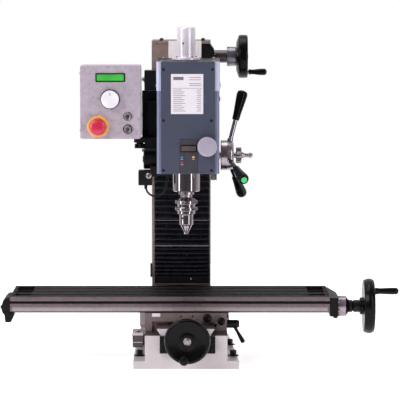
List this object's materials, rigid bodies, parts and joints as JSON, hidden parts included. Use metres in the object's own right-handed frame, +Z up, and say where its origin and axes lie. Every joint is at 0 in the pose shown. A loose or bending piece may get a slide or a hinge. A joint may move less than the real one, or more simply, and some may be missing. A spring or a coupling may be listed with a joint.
{
  "type": "benchtop milling machine",
  "caption": "Benchtop milling machine: dovetail column, sliding head with quill and drill chuck, T-slot table on a cross saddle, handwheels and a swinging control box.",
  "frame": {"origin": "on the bench under the spindle axis, in the plane of the base's underside", "axes": "+X right as seen by the operator, +Y away from the operator towards the column, +Z up"},
  "size_m": [0.876, 0.511, 0.737],
  "materials": {
    "white_paint": "gloss paint",
    "slate_paint": "satin slate-blue paint",
    "pale_paint": "satin lavender-grey paint",
    "cast_iron": "machined, oiled",
    "ground_iron": "ground",
    "steel": "turned",
    "chrome": "polished",
    "aluminium": "satin",
    "stainless": "brushed sheet",
    "black_cast": "black paint",
    "black_plastic": "moulded",
    "bronze": "machined bronze",
    "rubber": "matt",
    "red_plastic": "gloss",
    "grey_plastic": "translucent grey"
  },
  "bodies": {
    "root": {"base_casting": "white_paint", "column_casting": "ground_iron", "column_top_plate": "cast_iron", "z_drive_housing": "black_cast", "bellows": "rubber", "y_screw_bracket": "black_cast", "oil_reservoir": "grey_plastic"},
    "z_screw_body": {"z_screw": "steel"},
    "z_wheel": {"z_drive_shaft": "steel", "z_dial": "steel", "z_handwheel": "black_plastic"},
    "z_grip_body": {"z_grip": "black_plastic"},
    "y_wheel": {"y_screw": "steel", "y_dial": "steel", "y_handwheel": "black_plastic"},
    "y_grip_body": {"y_grip": "black_plastic"},
    "saddle_body": {"saddle": "cast_iron", "x_nut": "bronze", "y_nut": "bronze"},
    "table_lock": {"table_lock_knob": "black_plastic"},
    "saddle_lock": {"saddle_lock_knob": "black_plastic"},
    "clamp_lever": {"saddle_clamp_lever": "black_plastic"},
    "table_body": {"table": "ground_iron", "left_end_bracket": "black_cast", "right_end_bracket": "cast_iron"},
    "x_wheel": {"x_screw": "steel", "x_dial": "steel", "x_handwheel": "black_plastic"},
    "x_grip_body": {"x_grip": "black_plastic"},
    "head": {"head_casting": "pale_paint", "belt_cover": "pale_paint", "front_cover": "slate_paint", "head_carriage": "black_cast", "spindle_cap": "aluminium", "readout_panel": "black_plastic", "spring_housing": "black_cast", "drive_motor": "black_cast", "drive_belt": "rubber", "sensor_box": "black_plastic", "sensor_lead": "rubber", "box_bracket": "black_cast"},
    "motor_drive": {"motor_pulley": "aluminium"},
    "spindle_drive": {"spindle_pulley": "aluminium"},
    "quill_body": {"quill": "chrome"},
    "spindle_body": {"spindle": "steel", "drill_chuck": "chrome"},
    "feed": {"feed_shaft": "steel", "feed_hub": "steel", "feed_lever_1": "black_plastic", "feed_lever_2": "black_plastic", "feed_lever_3": "black_plastic"},
    "hub_lock": {"hub_lock_knob": "steel"},
    "worm_wheel": {"feed_worm_wheel": "bronze"},
    "fine_feed": {"fine_feed_knob": "aluminium"},
    "control_box_body": {"control_box": "stainless"},
    "speed_knob_body": {"speed_knob": "aluminium"},
    "estop": {"estop_button": "red_plastic"},
    "start_key": {"start_button": "steel"},
    "stop_key": {"stop_button": "steel"},
    "swivel_lock": {"swivel_knob": "black_plastic"}
  },
  "joints": [
    {"name": "y_handwheel_turn", "type": "hinge", "parent": "root", "child": "y_wheel", "pos_m": [0.003, -0.12, 0.074], "axis": [0, 1, 0], "range_deg": [-9451, 1621]},
    {"name": "saddle_slide", "type": "slide", "parent": "root", "child": "saddle_body", "axis": [0, 1, 0], "range_m": [-0.105, 0.018]},
    {"name": "y_grip_spin", "type": "hinge", "parent": "y_wheel", "child": "y_grip_body", "pos_m": [-0.004, -0.2, 0.036], "axis": [0, 1, 0], "continuous": true},
    {"name": "x_handwheel_turn", "type": "hinge", "parent": "table_body", "child": "x_wheel", "pos_m": [0.36, 0.03, 0.121], "axis": [-1, 0, 0], "range_deg": [-24931, 18271]},
    {"name": "table_slide", "type": "slide", "parent": "saddle_body", "child": "table_body", "axis": [1, 0, 0], "range_m": [-0.203, 0.277]},
    {"name": "x_grip_spin", "type": "hinge", "parent": "x_wheel", "child": "x_grip_body", "pos_m": [0.44, 0.016, 0.156], "axis": [1, 0, 0], "continuous": true},
    {"name": "z_handwheel_turn", "type": "hinge", "parent": "root", "child": "z_wheel", "pos_m": [0.1, 0.236, 0.665], "axis": [1, 0, 0], "range_deg": [0, 11701]},
    {"name": "z_screw_turn", "type": "hinge", "parent": "root", "child": "z_screw_body", "pos_m": [-0.0125, 0.236, 0.4], "axis": [0, 0, 1], "range_deg": [0, 11701]},
    {"name": "head_slide", "type": "slide", "parent": "root", "child": "head", "axis": [0, 0, 1], "range_m": [-0.13, 0], "deforming": ["bellows"]},
    {"name": "z_grip_spin", "type": "hinge", "parent": "z_wheel", "child": "z_grip_body", "pos_m": [0.16, 0.23, 0.63], "axis": [1, 0, 0], "continuous": true},
    {"name": "feed_turn", "type": "hinge", "parent": "head", "child": "feed", "pos_m": [0.09, 0.036, 0.455], "axis": [1, 0, 0], "range_deg": [0, 238]},
    {"name": "quill_slide", "type": "slide", "parent": "head", "child": "quill_body", "axis": [0, 0, -1], "range_m": [0, 0.05]},
    {"name": "spindle_spin", "type": "hinge", "parent": "quill_body", "child": "spindle_body", "pos_m": [0, 0, 0.4], "axis": [0, 0, 1], "continuous": true},
    {"name": "spindle_pulley_spin", "type": "hinge", "parent": "head", "child": "spindle_drive", "pos_m": [0, 0, 0.582], "axis": [0, 0, 1], "continuous": true},
    {"name": "motor_pulley_spin", "type": "hinge", "parent": "head", "child": "motor_drive", "pos_m": [0.004, 0.095, 0.582], "axis": [0, 0, 1], "continuous": true},
    {"name": "hub_lock_turn", "type": "hinge", "parent": "feed", "child": "hub_lock", "pos_m": [0.115, 0.036, 0.455], "axis": [1, 0, 0], "range_deg": [0, 180]},
    {"name": "fine_feed_turn", "type": "hinge", "parent": "head", "child": "fine_feed", "pos_m": [0.0455, -0.09, 0.483], "axis": [0, 1, 0], "continuous": true},
    {"name": "worm_wheel_turn", "type": "hinge", "parent": "head", "child": "worm_wheel", "pos_m": [0.0455, 0.036, 0.455], "axis": [1, 0, 0], "continuous": true},
    {"name": "control_box_swivel", "type": "hinge", "parent": "head", "child": "control_box_body", "pos_m": [-0.101, -0.005, 0.49], "axis": [0, 0, 1], "range_deg": [-30, 30]},
    {"name": "swivel_knob_turn", "type": "hinge", "parent": "head", "child": "swivel_lock", "pos_m": [-0.101, -0.005, 0.478], "axis": [0, 0, 1], "range_deg": [0, 180]},
    {"name": "speed_knob_turn", "type": "hinge", "parent": "control_box_body", "child": "speed_knob_body", "pos_m": [-0.164, -0.055, 0.583], "axis": [0, 1, 0], "range_deg": [0, 300]},
    {"name": "estop_press", "type": "slide", "parent": "control_box_body", "child": "estop", "axis": [0, 1, 0], "range_m": [0, 0.004], "stiffness_N_per_m": 400},
    {"name": "start_press", "type": "slide", "parent": "control_box_body", "child": "start_key", "axis": [0, 1, 0], "range_m": [0, 0.0025], "stiffness_N_per_m": 300},
    {"name": "stop_press", "type": "slide", "parent": "control_box_body", "child": "stop_key", "axis": [0, 1, 0], "range_m": [0, 0.0025], "stiffness_N_per_m": 300},
    {"name": "table_lock_turn", "type": "hinge", "parent": "saddle_body", "child": "table_lock", "pos_m": [0.046, -0.03, 0.105], "axis": [0, 1, 0], "range_deg": [0, 90]},
    {"name": "saddle_lock_turn", "type": "hinge", "parent": "saddle_body", "child": "saddle_lock", "pos_m": [0.077, -0.03, 0.098], "axis": [0, 1, 0], "range_deg": [0, 90]},
    {"name": "clamp_lever_turn", "type": "hinge", "parent": "saddle_body", "child": "clamp_lever", "pos_m": [0.1, 0.01, 0.084], "axis": [1, 0, 0], "range_deg": [-40, 40]}
  ],
  "couplings": [
    {"joint": "y_handwheel_turn", "follows": "saddle_slide", "rad_per_m": 1570.8},
    {"joint": "x_handwheel_turn", "follows": "table_slide", "rad_per_m": -1570.8},
    {"joint": "z_handwheel_turn", "follows": "head_slide", "rad_per_m": -1570.8},
    {"joint": "z_screw_turn", "follows": "head_slide", "rad_per_m": -1570.8},
    {"joint": "quill_slide", "follows": "feed_turn", "m_per_rad": 0.012},
    {"joint": "spindle_pulley_spin", "follows": "spindle_spin", "ratio": 1},
    {"joint": "motor_pulley_spin", "follows": "spindle_spin", "ratio": 2.0366},
    {"joint": "worm_wheel_turn", "follows": "fine_feed_turn", "ratio": 0.025}
  ]
}
